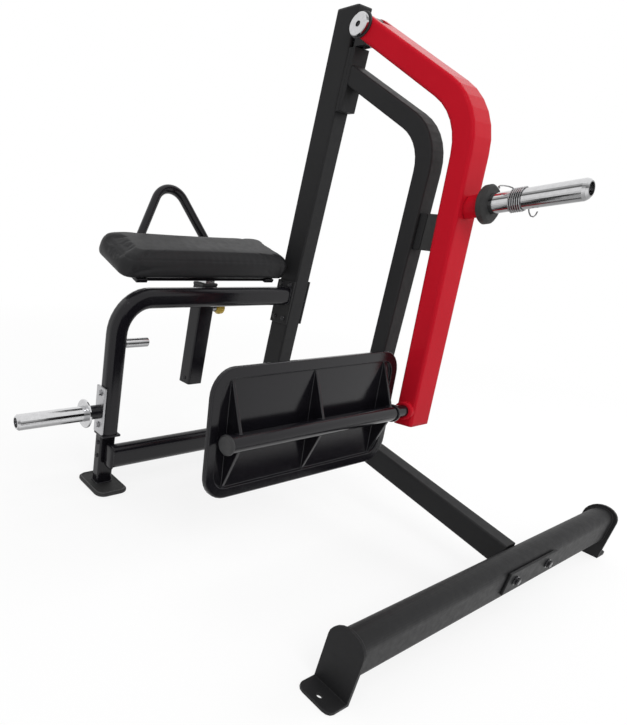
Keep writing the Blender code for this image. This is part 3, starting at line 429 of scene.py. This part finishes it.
def hex_bolt(name, at, way, across, material, slot):
    """Washer and chamfered hexagon head on a face; across is the size over its corners."""
    half = across / 2.0
    washer = [(along, half * share) for along, share in WASHER]
    head = [(HEAD_START, half)] + [(half * along, half * share) for along, share in HEAD]
    meshes = [lathe_mesh("washer", at, way, washer, WASHER_SIDES),
              lathe_mesh("head", at, way, head, HEXAGON)]
    finish_piece(name, join_meshes(name, meshes), material, "frame", slot)


def rounded_loop(width, depth, corner, spacing):
    """Points round a rectangle with round corners, evenly spaced."""
    points = []
    for k in range(4):
        way_x = 1.0 if k in (0, 3) else -1.0
        way_y = 1.0 if k in (0, 1) else -1.0
        mid = Vector(((width / 2.0 - corner) * way_x, (depth / 2.0 - corner) * way_y))
        for step in range(CORNER_STEPS + 1):
            angle = math.pi / 2.0 * (k + step / CORNER_STEPS)
            points.append(mid + corner * Vector((math.cos(angle), math.sin(angle))))
    even = []
    for low, high in zip(points, points[1:] + points[:1]):
        count = max(1, round((high - low).length / spacing))
        even += [low.lerp(high, i / count) for i in range(count)]
    return even


def weld_loop(width, depth, corner):
    """Path of a weld round a tube."""
    return rounded_loop(width + WELD_OUT, depth + WELD_OUT, corner, WELD_STEP)


def bead(name, points, radius, ripple, material, slot):
    """Weld bead or rim round a closed loop, its thickness rising and falling along it."""
    rings = []
    count = len(points)
    travelled = 0.0
    for i, point in enumerate(points):
        along = (points[(i + 1) % count] - points[i - 1]).normalized()
        side = Vector((0.0, 0.0, 1.0)) if abs(along.z) < 0.5 else Vector((1.0, 0.0, 0.0))
        side = (side - along * side.dot(along)).normalized()
        size = radius * (1.0 + ripple * math.sin(travelled * 2.0 * math.pi / WELD_PITCH))
        rings.append(circle(point, side, along.cross(side), size, WELD_SIDES))
        travelled += (points[(i + 1) % count] - point).length
    finish_piece(name, swept_mesh(name, rings, closed=True), material, "frame", slot)


def add_welds(charcoal, black):
    """Weld beads where the post, the beam and the foot bar meet their plates."""
    low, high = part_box("left_post")
    mid = middle_of("left_post")
    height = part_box("rubber_foot")[1].z + POST_WELD_UP
    loop = weld_loop(high.x - low.x, high.y - low.y, POST_CORNER)
    points = [Vector((mid.x + p.x, mid.y + p.y, height)) for p in loop]
    bead("weld_post_foot", points, POST_WELD, WELD_RIPPLE, black, "black_paint")

    low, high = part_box("leg_beam_tube")
    mid = middle_of("leg_beam_tube")
    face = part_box("beam_flange_plate")[0].x - BEAM_WELD_BACK
    height = high.z - BEAM_HEIGHT / 2.0
    loop = weld_loop(high.y - low.y, BEAM_HEIGHT, BEAM_CORNER)
    points = [Vector((face, mid.y + p.x, height + p.y)) for p in loop]
    bead("weld_beam", points, BEAM_WELD, WELD_RIPPLE, black, "black_paint")

    low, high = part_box("foot_bar")
    mid = middle_of("foot_bar")
    loop = weld_loop(high.y - low.y, high.z - low.z, (high.y - low.y) / 2.0)
    for name, x in (("left", low.x + BAR_WELD_IN), ("right", high.x - BAR_WELD_IN)):
        points = [Vector((x, mid.y + p.x, mid.z + p.y)) for p in loop]
        bead("weld_bar_" + name, points, BAR_WELD, WELD_RIPPLE, charcoal, "charcoal_paint")


def add_foot_rim(rubber):
    """Moulded rim round the top of the rubber foot."""
    low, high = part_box("rubber_foot")
    mid = middle_of("rubber_foot")
    loop = rounded_loop(high.x - low.x - RIM_INSET, high.y - low.y - RIM_INSET, RIM_CORNER, RIM_STEP)
    points = [Vector((mid.x + p.x, mid.y + p.y, high.z)) for p in loop]
    bead("rubber_foot_rim", points, RIM_RADIUS, 0.0, rubber, "black_rubber")


def add_fixings(black, zinc):
    """Bolts and nuts that the CAD part leaves to the scene."""
    left, right = (-1.0, 0.0, 0.0), (1.0, 0.0, 0.0)
    low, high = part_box("left_post")
    for name, height in POST_BOLT_HEIGHTS:
        at = (low.x, POST_BOLT_Y, height)
        hex_bolt("post_bolt_" + name, at, left, POST_BOLT, black, "black_paint")
    for name in ("upper", "lower"):
        mid = middle_of("bracket_bolt_" + name)
        at = (high.x + NUT_GAP, mid.y, mid.z)
        hex_bolt("bracket_nut_" + name, at, right, BRACKET_NUT, zinc, "zinc_steel")
    low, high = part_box("beam_flange_plate")
    for name, y in (("front", low.y + FLANGE_BOLT_INSET), ("back", high.y - FLANGE_BOLT_INSET)):
        for row, z in (("upper", high.z - FLANGE_BOLT_DOWN), ("lower", low.z + FLANGE_BOLT_UP)):
            at = (low.x, y, z)
            hex_bolt("flange_bolt_" + name + "_" + row, at, left, FLANGE_BOLT, black, "black_paint")
    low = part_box("pad_sleeve")[0]
    at = (low.x, middle_of("pad_sleeve").y, low.z + SLEEVE_BOLT_UP)
    hex_bolt("sleeve_stop_bolt", at, left, SLEEVE_BOLT, black, "black_paint")


def evaluated_mesh(item):
    """The item's mesh with its modifiers applied."""
    return bpy.data.meshes.new_from_object(item.evaluated_get(bpy.context.evaluated_depsgraph_get()))


def blow_up(item, held):
    """Swell a closed mesh as cloth under light pressure, keeping some points still."""
    group = item.vertex_groups.new(name="held")
    group.add(held, 1.0, "REPLACE")
    cloth = item.modifiers.new("cloth", "CLOTH")
    cloth.settings.vertex_group_mass = "held"
    cloth.settings.use_pressure = True
    cloth.settings.uniform_pressure_force = CLOTH_PRESSURE
    cloth.settings.effector_weights.gravity = 0.0
    cloth.point_cache.frame_start = 1
    cloth.point_cache.frame_end = CLOTH_FRAMES
    for frame_number in range(1, CLOTH_FRAMES + 1):
        bpy.context.scene.frame_set(frame_number)
    swollen = evaluated_mesh(item)
    item.modifiers.remove(cloth)
    item.vertex_groups.remove(group)
    bpy.context.scene.frame_set(1)
    return swollen


def cushion_rings():
    """Rings of the upholstered pad, a little inside its place, in the pad's own frame."""
    rings = []
    for shrink, height in PAD_PROFILE:
        corner = max(PAD_CORNER - shrink, PAD_LEAST_CORNER)
        loop = rounded_loop(PAD_WIDE - 2.0 * shrink, PAD_DEEP - 2.0 * shrink, corner, PAD_STEP)
        rings.append([Vector((p.x, PAD_SET_BACK + p.y, height)) for p in loop])
    return rings


def even_rings(rings):
    """The same rings with the same number of points each, so that a skin can join them."""
    count = len(rings[0])
    level = []
    for ring in rings:
        lengths = [0.0]
        for low, high in zip(ring, ring[1:] + ring[:1]):
            lengths.append(lengths[-1] + (high - low).length)
        made = []
        for k in range(count):
            goal = lengths[-1] * k / count
            i = max(j for j in range(len(ring)) if lengths[j] <= goal + 1e-9)
            share = (goal - lengths[i]) / max(lengths[i + 1] - lengths[i], 1e-9)
            made.append(ring[i].lerp(ring[(i + 1) % len(ring)], share))
        level.append(made)
    return level


def draw_seam(mesh, to_pad):
    """Press a seam and its puckers into the pad's mesh, round the top panel."""
    ways = [Vector(vertex.normal) for vertex in mesh.vertices]
    for vertex, way in zip(mesh.vertices, ways):
        point = to_pad @ vertex.co
        near = math.exp(-(((point.z + SEAM_DEPTH) / SEAM_WIDTH) ** 2))
        soft = math.exp(-(((point.z + SEAM_DEPTH) / PUCKER_WIDTH) ** 2))
        pucker = 0.6 + 0.4 * math.sin(point.x * PUCKER_WAVES + 2.0 * math.sin(point.y * PUCKER_DRIFT))
        vertex.co -= way * (SEAM_DRAW * near + PUCKER_DRAW * soft * pucker)


def add_cushion(surface):
    """Upholstered pad over its board: drawn in, swollen as cloth, then seamed round its top panel."""
    place = Matrix.Translation(PAD_MIDDLE) @ Matrix.Rotation(PAD_TILT, 4, "X")
    to_pad = place.inverted()
    mesh = swept_mesh("pad_start", even_rings(cushion_rings()))
    mesh.transform(place)
    item = bpy.data.objects.new("pad_start", mesh)
    bpy.context.scene.collection.objects.link(item)
    remesh = item.modifiers.new("remesh", "REMESH")
    remesh.mode = "VOXEL"
    remesh.voxel_size = VOXEL
    item.data = evaluated_mesh(item)
    item.modifiers.remove(remesh)
    start = [vertex.co.copy() for vertex in item.data.vertices]
    top_held = PAD_PROFILE[0][1] + HELD_HEIGHT
    held = [i for i, point in enumerate(start) if (to_pad @ point).z < top_held]
    swollen = blow_up(item, held)
    for vertex, before, after in zip(item.data.vertices, start, swollen.vertices):
        move = after.co - before
        if move.length > PUFF:
            move *= PUFF / move.length
        vertex.co = before + move
    bpy.data.meshes.remove(swollen)
    finer = item.modifiers.new("finer", "SUBSURF")
    finer.levels = 1
    mesh = evaluated_mesh(item)
    bpy.data.objects.remove(item)
    draw_seam(mesh, to_pad)
    made = finish_piece("pad_upholstery", mesh, surface, "pad", "black_vinyl", "pad_cushion", "pad_board")


def add_handle(black):
    """Handle bent once at its top, its feet on the pad's rear bar."""
    across = Vector((1.0, 0.0, 0.0))
    up = Vector((0.0, HANDLE_LEAN, 1.0)).normalized()
    depth = across.cross(up)
    rise = HANDLE_SPREAD / HANDLE_FLARE * math.sqrt(1.0 + HANDLE_LEAN ** 2)
    half = math.atan2(HANDLE_SPREAD, rise)
    bar = middle_of("pad_rear_bar")
    base = Vector((HANDLE_X, bar.y, bar.z))
    middle = base + up * (rise - HANDLE_BEND / math.sin(half))
    points = [base - across * HANDLE_SPREAD]
    for step in range(HANDLE_BEND_STEPS + 1):
        angle = math.pi - half + (2.0 * half - math.pi) * step / HANDLE_BEND_STEPS
        points.append(middle + (across * math.cos(angle) + up * math.sin(angle)) * HANDLE_BEND)
    points.append(base + across * HANDLE_SPREAD)
    rings = []
    for i, point in enumerate(points):
        along = (points[min(i + 1, len(points) - 1)] - points[max(i - 1, 0)]).normalized()
        rings.append(circle(point, along.cross(depth), depth, HANDLE_R, HANDLE_SIDES))
    finish_piece("pad_handle", swept_mesh("handle", rings), black, "pad", "black_paint", "handle_tube")


def add_pivot_ends(plastic, chrome):
    """The pivot's far end, smaller than the near one, and the hexagon socket in the near cap."""
    mid = middle_of("pivot_disc_right")
    at = (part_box("pivot_disc_right")[0].x, mid.y, mid.z)
    right = (1.0, 0.0, 0.0)
    mesh = lathe_mesh("far_disc", at, right, FAR_DISC)
    finish_piece("pivot_far_disc", mesh, plastic, "frame", "black_plastic", "pivot_disc_right")
    mesh = lathe_mesh("far_cap", at, right, FAR_CAP)
    finish_piece("pivot_far_cap", mesh, chrome, "frame", "chrome_plate", "pivot_cap_right")
    at = (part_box("pivot_cap_left")[0].x + SOCKET_DEPTH, mid.y, mid.z)
    mesh = lathe_mesh("socket", at, (-1.0, 0.0, 0.0), SOCKET, HEXAGON)
    finish_piece("pivot_socket", mesh, plastic, "frame", "black_plastic")


def add_axle_boss(red):
    """Red boss welded to the arm round the plate's shaft."""
    at = (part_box("plate_axle")[1].x + AXLE_BOSS_GAP, PLATE_SHAFT.y, PLATE_SHAFT.z)
    mesh = lathe_mesh("boss", at, (-1.0, 0.0, 0.0), AXLE_BOSS, AXLE_BOSS_SIDES)
    finish_piece("arm_axle_boss", mesh, red, "arm", "red_paint")


def add_tube_end(black):
    """Rounded end of the side tube in place of the plain cap."""
    low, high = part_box("side_tube_cap")
    mid = middle_of("side_tube_cap")
    rings = []
    for out, shrink in TUBE_END:
        width, height = high.y - low.y - 2.0 * shrink, high.z - low.z - 2.0 * shrink
        loop = rounded_loop(width, height, TUBE_CORNER, TUBE_STEP)
        rings.append([Vector((high.x - out, mid.y + p.x, mid.z + p.y)) for p in loop])
    mesh = swept_mesh("tube_end", even_rings(rings))
    finish_piece("side_tube_end", mesh, black, "frame", "black_paint", "side_tube_cap")


def dress_frame():
    """Materials of the CAD nodes that stay in view, and the pieces that the scene adds."""
    # The third colour of each paint is its paler edge: worn paint and a painted highlight.
    charcoal = paint("charcoal_paint", (0.013, 0.013, 0.0135), (0.019, 0.019, 0.020),
                     (0.06, 0.06, 0.062), roughness=0.44, spread=0.14, gloss=0.14, edge=0.003)
    dress(charcoal, "column_tube column_foot_plate foot_bar end_plate_left end_plate_right "
          "long_base_tube long_tube_flange saddle_plate support_foot support_plate_rear "
          "support_plate_front beam_flange_plate beam_back_plate side_tube_flange bumper_mount "
          "support_tube")
    black = paint("black_paint", (0.0050, 0.0046, 0.0062), (0.0082, 0.0076, 0.0098),
                  (0.12, 0.12, 0.13), roughness=0.09, spread=0.09, gloss=0.28, edge=0.004)
    dress(black, "side_base_tube left_post post_collar leg_beam_tube horn_neck "
          "pivot_lug pad_sleeve pad_cross_bar pad_rail_left pad_rail_right pad_rear_bar "
          "plate_axle foot_plate saddle_bolt_left saddle_bolt_right")
    red = paint("red_paint", (0.46, 0.0060, 0.016), (0.52, 0.010, 0.022), (0.70, 0.05, 0.07),
                roughness=0.14, spread=0.08, gloss=0.03, edge=0.005, peel=0.00010, peel_scale=300.0)
    dress(red, "arm_tube arm_end_cap weight_horn_neck")
    chrome = plated("chrome_plate", (0.80, 0.80, 0.81), (0.55, 0.55, 0.56), 0.10)
    dress(chrome, "horn_disc horn_sleeve band_peg pad_post pivot_cap_left weight_horn_sleeve")
    zinc = plated("zinc_steel", (0.60, 0.60, 0.61), (0.42, 0.42, 0.43), 0.28)
    dress(zinc, "horn_bracket bracket_bolt_upper bracket_bolt_lower pivot_shaft pin_barrel "
          "spring_clip")
    rubber = moulded("black_rubber", (0.010, 0.010, 0.010), (0.018, 0.018, 0.018), 0.62)
    dress(rubber, "rubber_foot bumper_block horn_rubber_ring")
    plastic = moulded("black_plastic", (0.010, 0.010, 0.011), (0.017, 0.017, 0.018), 0.42)
    dress(plastic, "column_cap sleeve_guide pivot_disc_left axle_end_cap")
    dress(moulded("yellow_plastic", (0.66, 0.44, 0.04), (0.74, 0.52, 0.07), 0.32), "pull_pin")
    add_welds(charcoal, black)
    add_foot_rim(moulded("rubber_rim", (0.045, 0.045, 0.045), (0.060, 0.060, 0.060), 0.5))
    add_fixings(black, zinc)
    add_pivot_ends(plastic, chrome)
    add_axle_boss(red)
    add_tube_end(black)
    add_handle(black)
    add_cushion(vinyl())


def greater(tree, first, second):
    """The greater of two values."""
    made = node(tree, "ShaderNodeMath", operation="MAXIMUM")
    link(tree, first, made.inputs[0])
    link(tree, second, made.inputs[1])
    return made.outputs[0]


def blended(tree, share, first, second):
    """Shader between two shaders."""
    made = tree.nodes.new("ShaderNodeMixShader")
    link(tree, share, made.inputs[0])
    link(tree, first, made.inputs[1])
    link(tree, second, made.inputs[2])
    return made.outputs[0]


def add_floor():
    """Pale floor that keeps the shadow and turns into the white surround with distance."""
    mesh = bpy.data.meshes.new("floor")
    shape = bmesh.new()
    bmesh.ops.create_circle(shape, cap_ends=True, radius=FLOOR_RADIUS, segments=FLOOR_SIDES)
    shape.to_mesh(mesh)
    shape.free()
    floor = bpy.data.objects.new("floor", mesh)
    floor.location = FLOOR_AT
    bpy.context.scene.collection.objects.link(floor)
    made, tree, shader, place = start_material("floor_white")
    shader.inputs["Roughness"].default_value = 0.7
    tone = mixed(tree, noise(tree, place, scale=3.0), (0.90, 0.90, 0.90), (0.92, 0.92, 0.92))
    link(tree, tone, shader.inputs["Base Color"])
    glow = node(tree, "ShaderNodeEmission", inputs={"Strength": 1.0, "Color": WHITE})
    path = tree.nodes.new("ShaderNodeLightPath")
    seen = greater(tree, path.outputs["Is Camera Ray"], path.outputs["Is Glossy Ray"])
    span = node(tree, "ShaderNodeVectorMath", operation="LENGTH")
    link(tree, place, span.inputs[0])
    far = node(tree, "ShaderNodeMath", operation="DIVIDE")
    link(tree, span.outputs["Value"], far.inputs[0])
    far.inputs[1].default_value = FLOOR_REACH
    share = node(tree, "ShaderNodeMath", operation="MULTIPLY")
    link(tree, seen, share.inputs[0])
    link(tree, ramp(tree, far.outputs[0], FLOOR_BLEND), share.inputs[1])
    surface = blended(tree, share.outputs[0], shader.outputs[0], glow.outputs[0])
    link(tree, surface, tree.nodes["Material Output"].inputs["Surface"])
    mesh.materials.append(made)


def add_world():
    """White surround where it is seen or mirrored, and a dimmer even light elsewhere."""
    world = bpy.data.worlds.new("studio")
    bpy.context.scene.world = world
    world.use_nodes = True
    tree = world.node_tree
    tree.nodes.clear()
    lit = node(tree, "ShaderNodeBackground", inputs={"Strength": WORLD_LIGHT, "Color": WHITE})
    shown = node(tree, "ShaderNodeBackground", inputs={"Strength": 1.0, "Color": WHITE})
    path = tree.nodes.new("ShaderNodeLightPath")
    seen = greater(tree, path.outputs["Is Camera Ray"], path.outputs["Is Glossy Ray"])
    seen = greater(tree, seen, path.outputs["Is Transmission Ray"])
    out = tree.nodes.new("ShaderNodeOutputWorld")
    link(tree, blended(tree, seen, lit.outputs[0], shown.outputs[0]), out.inputs["Surface"])


def add_lamp(name, place, target, size, power, mirrored):
    """One soft square lamp aimed at a point, seen in reflections if mirrored."""
    lamp = bpy.data.lights.new(name, "AREA")
    lamp.shape = "SQUARE"
    lamp.size = size
    lamp.energy = power
    item = bpy.data.objects.new(name, lamp)
    item.location = place
    item.visible_glossy = mirrored
    item.rotation_euler = (Vector(target) - Vector(place)).to_track_quat("-Z", "Y").to_euler()
    bpy.context.scene.collection.objects.link(item)


bpy.context.scene.view_settings.view_transform = "Standard"
add_camera()
dress_frame()
add_floor()
add_world()
for lamp_settings in LAMPS:
    add_lamp(*lamp_settings)
